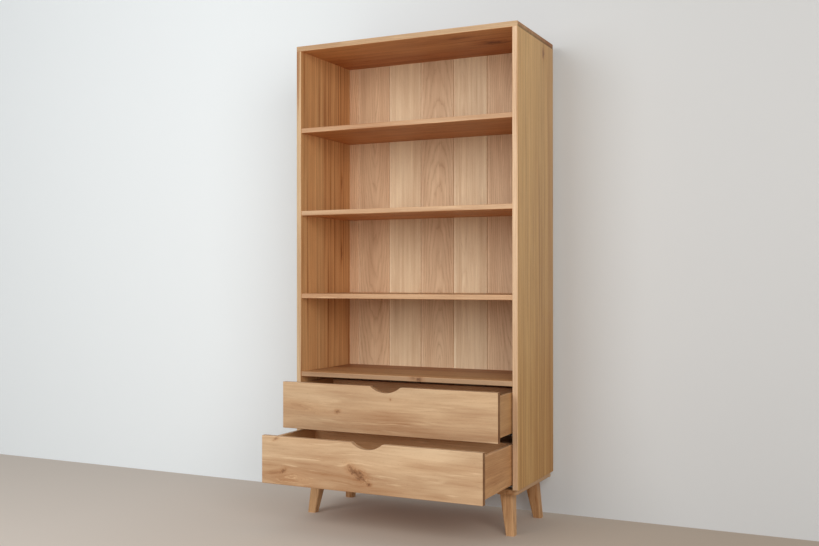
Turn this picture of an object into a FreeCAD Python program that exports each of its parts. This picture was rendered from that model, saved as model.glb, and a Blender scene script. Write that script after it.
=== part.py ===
"""Oak bookcase: four open bays above two inset drawers, on splayed tapered legs.

Row frame, in millimetres: X across the width, Y from the front to the back, Z up. The origin is on
the floor under the middle of the overall box, which takes in the drawers as they stand open.
Inside the carcass, pieces are drawn from its own front plane (y = 0) and its middle (x = 0), and
each is then seated by its Placement. A drawer is drawn closed, and its Placement draws it out.
"""

import FreeCAD, Part
import math
import os
import re

import Sketcher

Vector = FreeCAD.Vector

# The sizes that can each be set by themselves, in millimetres.
SIZES = {
    # Overall
    "width": 900,
    "total_height": 1800,
    "depth": 400,
    # Carcass boards
    "side_thickness": 20,
    "side_corner_radius": 5,
    "top_thickness": 20,
    "shelf_thickness": 18,
    "arris_radius": 2,
    # Clear heights of the three upper bays; the fourth takes what is left above the drawers
    "top_bay": 296,
    "second_bay": 300,
    "third_bay": 300,
    "shelf_setback": 3,
    # Stopped housings that carry the shelf ends
    "housing_depth": 6,
    "housing_stop": 14,
    "housing_play": 0.2,
    # Back of vertical tongued-and-grooved boards, let into a rebate round the carcass
    "back_thickness": 15,
    "back_inset": 2,
    "back_rebate": 10,
    "first_board_width": 52,
    "last_board_width": 108,
    "board_gap": 0.6,
    "board_bevel": 2.5,
    "tongue_length": 6,
    "tongue_thickness": 5,
    "tongue_play": 0.2,
    # Base: two rails front to back, a bottom board between them, four legs
    "leg_height": 148,
    "leg_top_width": 48,
    "leg_foot_width": 32,
    "leg_edge_radius": 6,
    "leg_splay": 19.5,
    "foot_inset_side": 43,
    "foot_inset_end": 52,
    "rail_thickness": 20,
    "rail_width": 72,
    "rail_inset_side": 8,
    "rail_inset_front": 10,
    "rail_corner_radius": 30,
    "rail_edge_radius": 7,
    "bottom_setback": 30,
    # Drawers
    "front_height": 171.5,
    "front_thickness": 20,
    "front_setback": 3,
    "front_end_gap": 3,
    "front_gap": 8.5,
    "front_gap_below": 2,
    "scoop_width": 120,
    "scoop_depth": 22.5,
    "scoop_lip_radius": 7,
    "box_rear_gap": 10,
    "box_side_thickness": 15,
    "box_side_gap": 4,
    "box_above_front_base": 17,
    "box_below_front_top": 14,
    "box_back_thickness": 15,
    "box_back_inset": 10,
    "box_back_drop": 8,
    "box_back_housing": 6,
    "box_bottom_thickness": 9,
    "box_bottom_lift": 13,
    "box_groove_depth": 7,
    "box_groove_play": 0.4,
    "box_edge_radius": 3,
    "upper_open": 135,
    "lower_open": 273,
    # Concealed telescopic runners: a fixed, a middle and a drawer member on each side
    "runner_setback": 2,
    "runner_end_gap": 3,
    "runner_steel": 1.5,
    "runner_drop": 11.5,
    "runner_flange": 34,
    "runner_side_play": 3,
    "channel_width": 20,
    "channel_height": 11,
    "drawer_member_leg": 10,
    "drawer_member_wing": 14,
    "middle_member_width": 13,
    "glide_thickness": 1.2,
    "glide_length": 30,
    "glide_height": 5,
    "glide_play": 0.3,
    # Dowels
    "dowel_diameter": 8,
    "dowel_length": 32,
    "dowel_in_board": 12,
    "dowel_play": 0.1,
    "dowel_end_play": 0.5,
    "top_dowel_inset": 50,
    "rail_dowel_inset": 60,
    "bottom_dowel_inset": 120,
    "leg_dowel_offset": 14,
    "box_dowel_inset": 34,
    # Leg bolts
    "bolt_diameter": 8,
    "bolt_head_diameter": 13,
    "bolt_head_height": 8,
    "bolt_recess": 9,
    "bolt_in_leg": 28,
    "bolt_play": 0.3,
    # Wood screws
    "screw_diameter": 3.5,
    "screw_head_diameter": 7.5,
    "screw_head_height": 1.6,
    "screw_play": 0.15,
    "back_screw_in_carcass": 16,
    "outer_screw_inset": 26,
    "runner_screw_in_side": 13,
    "runner_screw_front": 12,
    "runner_screw_rear": 45,
    "runner_screw_below_top": 9,
    "member_screw_in_bottom": 6,
    "member_screw_front": 20,
    "member_screw_rear": 95,
}

BOARD_COUNT = 7

# Places that follow from the sizes. A name in one of these, or in any expression below, is either
# a size of the sheet or another place of this list.
PLACES = {
    # Across
    "half_width": "width / 2",
    "side_inner": "half_width - side_thickness",
    "back_half": "side_inner + back_rebate",
    "board_pitch": f"(2 * back_half - first_board_width - last_board_width) / {BOARD_COUNT - 2}",
    "rail_outer": "half_width - rail_inset_side",
    "rail_inner": "rail_outer - rail_width",
    "box_outer": "side_inner - box_side_gap",
    "box_inner": "box_outer - box_side_thickness",
    "front_half": "side_inner - front_end_gap",
    # Front to back, from the carcass's front plane
    "carcass_front": "(lower_open - front_setback - depth) / 2",
    "back_face": "depth - back_inset - back_thickness",
    "box_front": "front_setback + front_thickness",
    "box_rear": "back_face - box_rear_gap",
    "box_back_rear": "box_rear - box_back_inset",
    "box_back_face": "box_back_rear - box_back_thickness",
    "runner_front": "box_front + runner_setback",
    "runner_rear": "box_rear - runner_end_gap",
    "runner_length": "runner_rear - runner_front",
    # Up
    "rail_middle": "leg_height + rail_thickness / 2",
    "base_top": "leg_height + rail_thickness",
    "soffit": "total_height - top_thickness",
    "upper_shelf_level": "soffit - top_bay - shelf_thickness",
    "middle_shelf_level": "upper_shelf_level - second_bay - shelf_thickness",
    "lower_shelf_level": "middle_shelf_level - third_bay - shelf_thickness",
    "lower_front_level": "base_top + front_gap_below",
    "upper_front_level": "lower_front_level + front_height + front_gap",
    "deck_level": "upper_front_level + front_height + front_gap",
    # Within a drawer, from the lower edge of its front
    "box_top": "front_height - box_below_front_top",
    "box_bottom_level": "box_above_front_base + box_bottom_lift",
    "box_bottom_top": "box_bottom_level + box_bottom_thickness",
    "scoop_radius": "(scoop_width * scoop_width / 4 + scoop_depth * scoop_depth) / (2 * scoop_depth)",
    # Within a runner: across from the side panel's face, and up from the fixed member's underside
    "channel_outer": "box_side_gap + box_side_thickness + runner_side_play",
    "channel_inner": "channel_outer + channel_width",
    "channel_middle": "channel_outer + channel_width / 2",
    "runner_height": "runner_drop + box_bottom_lift",
    "runner_level": "box_above_front_base - runner_drop",
    "runner_screw_up": "runner_level + runner_flange - runner_screw_below_top",
    "middle_base": "runner_steel + glide_play + glide_thickness",
    "middle_top": "runner_height - middle_base",
    # Fasteners
    "dowel_in_end": "dowel_length - dowel_in_board",
    "dowel_hole": "dowel_diameter / 2 + dowel_play",
    "screw_hole": "screw_diameter / 2 + screw_play",
    "leg_top_side": "half_width - foot_inset_side - leg_splay",
    "leg_top_end": "foot_inset_end + leg_splay",
    "leg_dowel_side": "leg_top_side + leg_dowel_offset",
    "rail_dowel_side": "(side_inner + rail_outer) / 2",
    "top_dowel_side": "half_width - side_thickness / 2",
    "box_dowel_side": "box_outer - box_side_thickness / 2",
    "wing_middle": "channel_inner + drawer_member_wing / 2",
}

TOP_DOWELS_Y = ["top_dowel_inset", "depth / 2", "depth - top_dowel_inset"]
RAIL_DOWELS_Y = ["rail_dowel_inset", "depth / 2", "back_face - rail_dowel_inset"]
BOTTOM_DOWELS_Y = ["bottom_dowel_inset", "back_face - bottom_dowel_inset"]
LEG_TOPS_Y = ["leg_top_end", "depth - leg_top_end"]
BOX_DOWELS_Z = ["box_above_front_base + box_dowel_inset", "box_top - box_dowel_inset"]
SHELF_LEVELS = ["upper_shelf_level", "middle_shelf_level", "lower_shelf_level", "deck_level"]
BACK_SCREWS_Z = ["rail_middle", "soffit + back_rebate / 2"]
RUNNER_SCREWS_Y = [
    "runner_front + runner_screw_front",
    "runner_rear - runner_screw_rear",
]
MEMBER_SCREWS_Y = [
    "runner_front + member_screw_front",
    "runner_rear - member_screw_rear",
]
DRAWERS = {
    "upper": {"level": "upper_front_level", "open": "upper_open"},
    "lower": {"level": "lower_front_level", "open": "lower_open"},
}

UP = FreeCAD.Rotation()
RIGHTWARD = FreeCAD.Rotation(Vector(0, 1, 0), 90)
LEFTWARD = FreeCAD.Rotation(Vector(0, 1, 0), -90)
FORWARD = FreeCAD.Rotation(Vector(1, 0, 0), 90)
BACKWARD = FreeCAD.Rotation(Vector(1, 0, 0), -90)
DOWN = FreeCAD.Rotation(Vector(1, 0, 0), 180)
NEAR = 0.01
# How a sketch numbers its origin and the points of a line or an arc
ORIGIN = -1
START, END, CENTRE = range(1, 4)

doc = FreeCAD.newDocument("bookcase")
sheet = doc.addObject("Spreadsheet::Sheet", "Sizes")
for row, (name, size) in enumerate(SIZES.items(), start=1):
    sheet.set(f"A{row}", name)
    sheet.set(f"B{row}", str(size))
    sheet.setAlias(f"B{row}", name)
doc.recompute()

nodes = []


# ---------------------------------------------------------------- expressions

def spell(text):
    """Write an expression out in the sheet's own cells, places replaced by what they stand for."""
    def swap(match):
        word = match.group(0)
        if word in SIZES:
            return f"Sizes.{word}"
        if word in PLACES:
            return f"({spell(PLACES[word])})"
        raise ValueError(f"no size or place is called {word}")
    return re.sub(r"[a-z_]+[a-z]", swap, text)


def value(text):
    """The number that an expression has now."""
    return float(sheet.evalExpression(spell(text)))


def bind(thing, prop, text):
    """Tie a property to an expression."""
    thing.setExpression(prop, spell(text))


def minus(text):
    return f"-({text})"


# ---------------------------------------------------------------- sketches and features

def new_body(label):
    body = doc.addObject("PartDesign::Body", label)
    body.Label = label
    return body


def sketch_on(body, role, offset="0"):
    """Empty sketch on one of the body's origin planes, moved along the plane's normal."""
    plane = next(f for f in body.Origin.OriginFeatures if f.Role == role)
    sketch = body.newObject("Sketcher::SketchObject", "Sketch")
    sketch.AttachmentSupport = [(plane, "")]
    sketch.MapMode = "FlatFace"
    bind(sketch, "AttachmentOffset.Base.z", offset)
    return sketch


def fix_point(sketch, geometry, point, across, up):
    """Place one point of a sketch by two expressions, measured from the sketch's origin."""
    for kind, text in (("DistanceX", across), ("DistanceY", up)):
        constraint = Sketcher.Constraint(kind, ORIGIN, START, geometry, point, value(text))
        index = sketch.addConstraint(constraint)
        bind(sketch, f"Constraints[{index}]", text)


def draw_outline(sketch, corners):
    """Closed outline of straight edges through corners given as pairs of expressions."""
    points = [Vector(value(across), value(up), 0) for across, up in corners]
    first = sketch.GeometryCount
    count = len(points)
    for step in range(count):
        line = Part.LineSegment(points[step], points[(step + 1) % count])
        sketch.addGeometry(line, False)
    for step in range(count):
        following = first + (step + 1) % count
        sketch.addConstraint(Sketcher.Constraint("Coincident", first + step, END, following, START))
    for step, (across, up) in enumerate(corners):
        fix_point(sketch, first + step, START, across, up)


def draw_rectangle(sketch, left, right, low, high):
    draw_outline(sketch, [(left, low), (right, low), (right, high), (left, high)])


def draw_rounded_square(sketch, across, up, width, radius):
    """Square with round corners about a centre: four arcs, each joined to the next by a line."""
    arcs = []
    for quarter, (right, above) in enumerate(((1, -1), (1, 1), (-1, 1), (-1, -1))):
        centre_across = f"{across} + {right} * ({width} / 2 - {radius})"
        centre_up = f"{up} + {above} * ({width} / 2 - {radius})"
        centre = Vector(value(centre_across), value(centre_up), 0)
        circle = Part.Circle(centre, Vector(0, 0, 1), value(radius))
        start = (quarter - 1) * math.pi / 2
        arc = sketch.addGeometry(Part.ArcOfCircle(circle, start, start + math.pi / 2), False)
        index = sketch.addConstraint(Sketcher.Constraint("Radius", arc, value(radius)))
        bind(sketch, f"Constraints[{index}]", radius)
        fix_point(sketch, arc, CENTRE, centre_across, centre_up)
        arcs.append(arc)
    for arc, following in zip(arcs, arcs[1:] + arcs[:1]):
        start = sketch.getPoint(arc, END)
        line = sketch.addGeometry(Part.LineSegment(start, sketch.getPoint(following, START)), False)
        sketch.addConstraint(Sketcher.Constraint("Tangent", arc, END, line, START))
        sketch.addConstraint(Sketcher.Constraint("Tangent", line, END, following, START))


def draw_circle(sketch, across, up, radius):
    centre = Vector(value(across), value(up), 0)
    circle = Part.Circle(centre, Vector(0, 0, 1), value(radius))
    geometry = sketch.addGeometry(circle, False)
    index = sketch.addConstraint(Sketcher.Constraint("Radius", geometry, value(radius)))
    bind(sketch, f"Constraints[{index}]", radius)
    fix_point(sketch, geometry, CENTRE, across, up)


def pad(body, sketch, length, reverse=False):
    feature = body.newObject("PartDesign::Pad", "Pad")
    feature.Profile = sketch
    feature.Reversed = reverse
    bind(feature, "Length", length)
    doc.recompute()
    return feature


def pocket(body, sketch, length, reverse=False):
    """Cut a sketch into the body; a pocket that removes nothing is a fault."""
    before = body.Shape.Volume
    feature = body.newObject("PartDesign::Pocket", "Pocket")
    feature.Profile = sketch
    feature.Reversed = reverse
    bind(feature, "Length", length)
    doc.recompute()
    if body.Shape.Volume > before - NEAR:
        raise RuntimeError(f"a pocket of {body.Label} cuts nothing")
    return feature


def edges_where(feature, wanted):
    """Names of the feature's edges whose two end points pass the test together."""
    names = []
    for number, edge in enumerate(feature.Shape.Edges, start=1):
        ends = [vertex.Point for vertex in edge.Vertexes]
        if len(ends) == 2 and wanted(*ends):
            names.append(f"Edge{number}")
    if not names:
        raise RuntimeError(f"no edge of {feature.Label} passes the test")
    return names


def round_edges(body, feature, edges, radius):
    fillet = body.newObject("PartDesign::Fillet", "Fillet")
    fillet.Base = (feature, edges)
    bind(fillet, "Radius", radius)
    doc.recompute()
    return fillet


def both_at(a, b, axis, text):
    """Whether two points both lie at one place along an axis."""
    place = value(text)
    return all(abs(getattr(point, axis) - place) < NEAR for point in (a, b))


def runs_along(a, b, axis):
    run = b.sub(a)
    return abs(abs(getattr(run, axis)) - run.Length) < NEAR


def seat(thing, level="0", drawn_out="0"):
    """Put a piece at its level in the carcass, drawn out towards the front by a distance."""
    bind(thing, "Placement.Base.y", f"carcass_front - ({drawn_out})")
    bind(thing, "Placement.Base.z", level)


def keep(thing):
    """Take a finished piece into the list of those to be written out."""
    nodes.append(thing)
    return thing


def mirrored(label, source, normal=Vector(1, 0, 0), plane_y="0"):
    """The same piece for the other hand, mirrored across the middle of the carcass."""
    mirror = doc.addObject("Part::Mirroring", label)
    mirror.Label = label
    mirror.Source = source
    mirror.Normal = normal
    bind(mirror, "Base.y", plane_y)
    return keep(mirror)


# ---------------------------------------------------------------- round fasteners

def rod(radius, length, centre, turn=UP):
    """Cylinder from a centre point given by three expressions, along the turned Z axis."""
    cylinder = doc.addObject("Part::Cylinder", "Rod")
    bind(cylinder, "Radius", radius)
    bind(cylinder, "Height", length)
    cylinder.Placement.Rotation = turn
    for axis, text in zip("xyz", centre):
        bind(cylinder, f"Placement.Base.{axis}", text)
    return cylinder


def headed(head_radius, head_height, shank_radius, shank_length, centre, turn):
    """Screw or bolt: its head stands behind the centre point and its shank runs ahead of it."""
    ahead = turn.multVec(Vector(0, 0, 1))
    behind = [f"{text} - ({round(share)}) * ({head_height})" for text, share in zip(centre, ahead)]
    head = rod(head_radius, head_height, behind, turn)
    shank = rod(shank_radius, shank_length, centre, turn)
    whole = doc.addObject("Part::Fuse", "Headed")
    whole.Base = head
    whole.Tool = shank
    return whole


def wood_screw(shank_length, centre, turn):
    return headed("screw_head_diameter / 2", "screw_head_height",
                  "screw_diameter / 2", shank_length, centre, turn)


def group(label, pieces):
    """Identical small pieces as one node of separate solids."""
    compound = doc.addObject("Part::Compound", label)
    compound.Label = label
    compound.Links = pieces
    return keep(compound)


def both_hands(across):
    """The same distance to the left and to the right of the middle."""
    return [f"-({across})", across]


# ---------------------------------------------------------------- carcass

def make_side():
    """Left side panel: shelf housings, rebate for the back, holes for dowels and runner screws."""
    body = new_body("left_side")
    outline = sketch_on(body, "YZ_Plane", "-half_width")
    draw_rectangle(outline, "0", "depth", "base_top", "soffit")
    board = pad(body, outline, "side_thickness")

    def is_lower_corner(a, b):
        return both_at(a, b, "y", "0") and both_at(a, b, "z", "base_top")

    board = round_edges(body, board, edges_where(board, is_lower_corner), "side_corner_radius")
    arrises = edges_where(board, lambda a, b: both_at(a, b, "y", "0") and runs_along(a, b, "z"))
    round_edges(body, board, arrises, "arris_radius")

    rebate = sketch_on(body, "YZ_Plane", "-side_inner")
    draw_rectangle(rebate, "back_face", "depth", "base_top", "soffit")
    pocket(body, rebate, "back_rebate")

    housings = sketch_on(body, "YZ_Plane", "-side_inner")
    for level in SHELF_LEVELS:
        draw_rectangle(housings, "housing_stop", "back_face", level, f"{level} + shelf_thickness")
    pocket(body, housings, "housing_depth")

    top_holes = sketch_on(body, "XY_Plane", "soffit")
    for back in TOP_DOWELS_Y:
        draw_circle(top_holes, "-top_dowel_side", back, "dowel_hole")
    pocket(body, top_holes, "dowel_in_end + dowel_end_play")

    base_holes = sketch_on(body, "XY_Plane", "base_top")
    for back in RAIL_DOWELS_Y:
        draw_circle(base_holes, "-rail_dowel_side", back, "dowel_hole")
    pocket(body, base_holes, "dowel_in_end + dowel_end_play", reverse=True)

    runner_holes = sketch_on(body, "YZ_Plane", "-side_inner")
    for drawer in DRAWERS.values():
        for back in RUNNER_SCREWS_Y:
            draw_circle(runner_holes, back, f"{drawer['level']} + runner_screw_up", "screw_hole")
    pocket(body, runner_holes, "runner_screw_in_side + screw_play")
    seat(body)
    return keep(body)


def make_top():
    """Top panel, laid over the sides, with eased edges and a rebate for the back boards."""
    body = new_body("top_panel")
    outline = sketch_on(body, "XY_Plane", "soffit")
    draw_rectangle(outline, "-half_width", "half_width", "0", "depth")
    board = pad(body, outline, "top_thickness")

    def is_arris(a, b):
        upper = both_at(a, b, "z", "total_height")
        lower_front = both_at(a, b, "z", "soffit") and both_at(a, b, "y", "0")
        return upper or lower_front or runs_along(a, b, "z")

    round_edges(body, board, edges_where(board, is_arris), "arris_radius")

    rebate = sketch_on(body, "XY_Plane", "soffit")
    draw_rectangle(rebate, "-back_half", "back_half", "back_face", "depth")
    pocket(body, rebate, "back_rebate", reverse=True)

    dowel_holes = sketch_on(body, "XY_Plane", "soffit")
    for side in both_hands("top_dowel_side"):
        for back in TOP_DOWELS_Y:
            draw_circle(dowel_holes, side, back, "dowel_hole")
    pocket(body, dowel_holes, "dowel_in_board + dowel_end_play", reverse=True)
    drill_for_back(body, BACK_SCREWS_Z[1], "-back_half", "back_half")
    seat(body)
    return keep(body)


def make_shelf(label, level):
    """Shelf whose ends enter stopped housings, so its front corners are notched."""
    body = new_body(label)
    reach = "side_inner + housing_depth - housing_play"
    notch = "housing_stop + housing_play"
    outline = sketch_on(body, "XY_Plane")
    draw_outline(outline, [
        ("-side_inner", "shelf_setback"),
        ("side_inner", "shelf_setback"),
        ("side_inner", notch),
        (reach, notch),
        (reach, "back_face"),
        (minus(reach), "back_face"),
        (minus(reach), notch),
        ("-side_inner", notch),
    ])
    board = pad(body, outline, "shelf_thickness")

    def is_front(a, b):
        return both_at(a, b, "y", "shelf_setback") and runs_along(a, b, "x")

    round_edges(body, board, edges_where(board, is_front), "arris_radius")
    seat(body, level)
    return keep(body)


def drill_for_back(body, height, left, right):
    """Pilot holes into a board's rear edge, one for each back board that is screwed to it."""
    reach = value("screw_hole")
    met = [
        place for place in map(board_screw, range(BOARD_COUNT))
        if value(left) - reach < value(place) < value(right) + reach
    ]
    if not met:
        return
    holes = sketch_on(body, "XZ_Plane", "-back_face")
    for place in met:
        draw_circle(holes, place, height, "screw_hole")
    pocket(body, holes, "back_screw_in_carcass + screw_play", reverse=True)


def make_bottom():
    """Bottom board between the base rails, set back behind the lower drawer's front."""
    body = new_body("bottom_panel")
    outline = sketch_on(body, "XY_Plane", "leg_height")
    draw_rectangle(outline, "-rail_inner", "rail_inner", "bottom_setback", "back_face")
    pad(body, outline, "rail_thickness")
    for side, inward in zip(both_hands("rail_inner"), (True, False)):
        holes = sketch_on(body, "YZ_Plane", side)
        for back in BOTTOM_DOWELS_Y:
            draw_circle(holes, back, "rail_middle", "dowel_hole")
        pocket(body, holes, "dowel_in_end + dowel_end_play", reverse=inward)
    drill_for_back(body, BACK_SCREWS_Z[0], "-rail_inner", "rail_inner")
    seat(body)
    return keep(body)


def make_rail():
    """Left base rail: rounded front corner, eased lower edge, seats for legs and dowels."""
    body = new_body("base_rail_left")
    outline = sketch_on(body, "XY_Plane", "leg_height")
    draw_rectangle(outline, "-rail_outer", "-rail_inner", "rail_inset_front", "back_face")
    board = pad(body, outline, "rail_thickness")

    def is_front_corner(a, b):
        outer_front = both_at(a, b, "x", "-rail_outer") and both_at(a, b, "y", "rail_inset_front")
        return outer_front and runs_along(a, b, "z")

    board = round_edges(body, board, edges_where(board, is_front_corner), "rail_corner_radius")

    def is_lower_edge(a, b):
        hidden = both_at(a, b, "x", "-rail_inner") or both_at(a, b, "y", "back_face")
        return both_at(a, b, "z", "leg_height") and not hidden

    round_edges(body, board, edges_where(board, is_lower_edge), "rail_edge_radius")

    bolt_holes = sketch_on(body, "XY_Plane", "leg_height")
    recesses = sketch_on(body, "XY_Plane", "base_top")
    leg_dowel_holes = sketch_on(body, "XY_Plane", "leg_height")
    for back in LEG_TOPS_Y:
        draw_circle(bolt_holes, "-leg_top_side", back, "bolt_diameter / 2 + bolt_play")
        draw_circle(recesses, "-leg_top_side", back, "bolt_head_diameter / 2 + bolt_play")
        draw_circle(leg_dowel_holes, "-leg_dowel_side", back, "dowel_hole")
    pocket(body, bolt_holes, "rail_thickness", reverse=True)
    pocket(body, recesses, "bolt_recess")
    pocket(body, leg_dowel_holes, "dowel_in_board + dowel_end_play", reverse=True)

    side_dowel_holes = sketch_on(body, "XY_Plane", "base_top")
    for back in RAIL_DOWELS_Y:
        draw_circle(side_dowel_holes, "-rail_dowel_side", back, "dowel_hole")
    pocket(body, side_dowel_holes, "dowel_in_board + dowel_end_play")

    bottom_dowel_holes = sketch_on(body, "YZ_Plane", "-rail_inner")
    for back in BOTTOM_DOWELS_Y:
        draw_circle(bottom_dowel_holes, back, "rail_middle", "dowel_hole")
    pocket(body, bottom_dowel_holes, "dowel_in_board + dowel_end_play")
    drill_for_back(body, BACK_SCREWS_Z[0], "-rail_outer", "-rail_inner")
    seat(body)
    return keep(body)


def make_leg():
    """Front left leg: square with rounded edges, tapering and splayed outwards to its foot."""
    body = new_body("leg_front_left")
    foot = sketch_on(body, "XY_Plane")
    draw_rounded_square(foot, "foot_inset_side - half_width", "foot_inset_end",
                        "leg_foot_width", "leg_edge_radius")
    head = sketch_on(body, "XY_Plane", "leg_height")
    draw_rounded_square(head, "-leg_top_side", "leg_top_end", "leg_top_width", "leg_edge_radius")
    doc.recompute()
    taper = body.newObject("PartDesign::AdditiveLoft", "Taper")
    taper.Profile = foot
    taper.Sections = [head]
    taper.Ruled = True
    doc.recompute()

    bolt_hole = sketch_on(body, "XY_Plane", "leg_height")
    draw_circle(bolt_hole, "-leg_top_side", "leg_top_end", "bolt_diameter / 2 + bolt_play")
    pocket(body, bolt_hole, "bolt_in_leg + bolt_play")
    dowel_hole = sketch_on(body, "XY_Plane", "leg_height")
    draw_circle(dowel_hole, "-leg_dowel_side", "leg_top_end", "dowel_hole")
    pocket(body, dowel_hole, "dowel_in_end + dowel_end_play")
    seat(body)
    return keep(body)


def board_width(number):
    """Room that a back board takes across the carcass; the outer two are cut narrower."""
    outer = {0: "first_board_width", BOARD_COUNT - 1: "last_board_width"}
    return outer.get(number, "board_pitch")


def board_start(number):
    """Where the room of a back board starts across the carcass."""
    if number == 0:
        return "-back_half"
    return f"(first_board_width + {number - 1} * board_pitch - back_half)"


def board_screw(number):
    """Where the screws of a back board stand across the carcass."""
    outer = {0: "(outer_screw_inset - back_half)",
             BOARD_COUNT - 1: "(back_half - outer_screw_inset)"}
    return outer.get(number, f"({board_start(number)} + board_pitch / 2)")


def make_back_board(number):
    """Back board with bevelled front arrises, a groove on its left and a tongue on its right."""
    body = new_body(f"back_board_{number + 1}")
    face = f"({board_width(number)} - board_gap)"
    near = "(back_thickness - tongue_thickness) / 2"
    far = "(back_thickness + tongue_thickness) / 2"
    corners = [
        ("board_bevel", "0"),
        (f"{face} - board_bevel", "0"),
        (face, "board_bevel"),
    ]
    if number < BOARD_COUNT - 1:
        corners += [
            (face, near),
            (f"{face} + tongue_length", near),
            (f"{face} + tongue_length", far),
            (face, far),
        ]
    corners += [
        (face, "back_thickness"),
        ("0", "back_thickness"),
    ]
    if number > 0:
        corners += [
            ("0", f"{far} + tongue_play"),
            ("tongue_length", f"{far} + tongue_play"),
            ("tongue_length", f"{near} - tongue_play"),
            ("0", f"{near} - tongue_play"),
        ]
    corners.append(("0", "board_bevel"))
    outline = sketch_on(body, "XY_Plane")
    draw_outline(outline, corners)
    pad(body, outline, "soffit + back_rebate - tongue_play - leg_height")

    left = f"({board_start(number)} + board_gap / 2)"
    holes = sketch_on(body, "XZ_Plane")
    for height in BACK_SCREWS_Z:
        draw_circle(holes, f"{board_screw(number)} - {left}", f"{height} - leg_height",
                    "screw_hole")
    pocket(body, holes, "back_thickness")
    bind(body, "Placement.Base.x", left)
    bind(body, "Placement.Base.y", "carcass_front + back_face")
    bind(body, "Placement.Base.z", "leg_height")
    return keep(body)


def make_carcass_dowels():
    """Dowels of the top, the base rails, the bottom board and the legs."""
    radius = "dowel_diameter / 2"
    dowels = []
    for side in both_hands("top_dowel_side"):
        for back in TOP_DOWELS_Y:
            dowels.append(rod(radius, "dowel_length", (side, back, "soffit - dowel_in_end")))
    for side in both_hands("rail_dowel_side"):
        for back in RAIL_DOWELS_Y:
            dowels.append(rod(radius, "dowel_length", (side, back, "base_top - dowel_in_board")))
    for side in both_hands("leg_dowel_side"):
        for back in LEG_TOPS_Y:
            dowels.append(rod(radius, "dowel_length", (side, back, "leg_height - dowel_in_end")))
    for side, turn in zip(both_hands("rail_inner - dowel_in_end"), (LEFTWARD, RIGHTWARD)):
        for back in BOTTOM_DOWELS_Y:
            dowels.append(rod(radius, "dowel_length", (side, back, "rail_middle"), turn))
    seat(group("carcass_dowels", dowels))


def make_leg_bolts():
    bolts = []
    for side in both_hands("leg_top_side"):
        for back in LEG_TOPS_Y:
            bolts.append(headed("bolt_head_diameter / 2", "bolt_head_height", "bolt_diameter / 2",
                                "rail_thickness - bolt_recess + bolt_in_leg",
                                (side, back, "base_top - bolt_recess"), DOWN))
    seat(group("leg_bolts", bolts))


def make_back_screws():
    screws = []
    for number in range(BOARD_COUNT):
        for height in BACK_SCREWS_Z:
            centre = (board_screw(number), "back_face + back_thickness", height)
            screws.append(wood_screw("back_thickness + back_screw_in_carcass", centre, FORWARD))
    seat(group("back_screws", screws))


# ---------------------------------------------------------------- drawers

def make_front(name, drawer):
    """Inset drawer front with a scooped finger pull, a groove and dowel holes in its rear face."""
    body = new_body(f"{name}_drawer_front")
    outline = sketch_on(body, "XZ_Plane", "-front_setback")
    draw_rectangle(outline, "-front_half", "front_half", "0", "front_height")
    pad(body, outline, "front_thickness", reverse=True)
    scoop = sketch_on(body, "XZ_Plane", "-front_setback")
    draw_circle(scoop, "0", "front_height + scoop_radius - scoop_depth", "scoop_radius")
    scooped = pocket(body, scoop, "front_thickness")

    def is_lip(a, b):
        on_top = both_at(a, b, "z", "front_height") and runs_along(a, b, "y")
        return on_top and abs(a.x) < value("scoop_width")

    lipped = round_edges(body, scooped, edges_where(scooped, is_lip), "scoop_lip_radius")
    arrises = edges_where(lipped, lambda a, b: both_at(a, b, "y", "front_setback"))
    round_edges(body, lipped, arrises, "arris_radius")

    groove = sketch_on(body, "XZ_Plane", "-box_front")
    draw_rectangle(groove, "-box_inner - box_groove_depth", "box_inner + box_groove_depth",
                   "box_bottom_level", "box_bottom_top")
    pocket(body, groove, "box_groove_depth", reverse=True)
    holes = sketch_on(body, "XZ_Plane", "-box_front")
    for side in both_hands("box_dowel_side"):
        for up in BOX_DOWELS_Z:
            draw_circle(holes, side, up, "dowel_hole")
    pocket(body, holes, "dowel_in_board + dowel_end_play", reverse=True)
    seat(body, drawer["level"], drawer["open"])
    return keep(body)


def make_box_side(name, drawer):
    """Left side of a drawer box: rounded top, groove for the bottom, housing for the back."""
    body = new_body(f"{name}_drawer_left_side")
    outline = sketch_on(body, "YZ_Plane", "-box_outer")
    draw_rectangle(outline, "box_front", "box_rear", "box_above_front_base", "box_top")
    board = pad(body, outline, "box_side_thickness")

    def is_upper(a, b):
        return both_at(a, b, "z", "box_top") and runs_along(a, b, "y")

    round_edges(body, board, edges_where(board, is_upper), "box_edge_radius")
    groove = sketch_on(body, "YZ_Plane", "-box_inner")
    draw_rectangle(groove, "box_front", "box_rear", "box_bottom_level", "box_bottom_top")
    pocket(body, groove, "box_groove_depth")
    housing = sketch_on(body, "YZ_Plane", "-box_inner")
    draw_rectangle(housing, "box_back_face", "box_back_rear",
                   "box_bottom_top", "box_top - box_back_drop")
    pocket(body, housing, "box_back_housing")
    holes = sketch_on(body, "XZ_Plane", "-box_front")
    for up in BOX_DOWELS_Z:
        draw_circle(holes, "-box_dowel_side", up, "dowel_hole")
    pocket(body, holes, "dowel_in_end + dowel_end_play")
    seat(body, drawer["level"], drawer["open"])
    return keep(body)


def make_box_back(name, drawer):
    """Back of a drawer box, standing on the bottom board and housed in both sides."""
    body = new_body(f"{name}_drawer_back")
    reach = "box_inner + box_back_housing - housing_play"
    outline = sketch_on(body, "XY_Plane", "box_bottom_top")
    draw_rectangle(outline, minus(reach), reach, "box_back_face", "box_back_rear")
    board = pad(body, outline, "box_top - box_back_drop - box_bottom_top")

    def is_upper(a, b):
        return both_at(a, b, "z", "box_top - box_back_drop") and runs_along(a, b, "x")

    round_edges(body, board, edges_where(board, is_upper), "box_edge_radius")
    seat(body, drawer["level"], drawer["open"])
    return keep(body)


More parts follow.
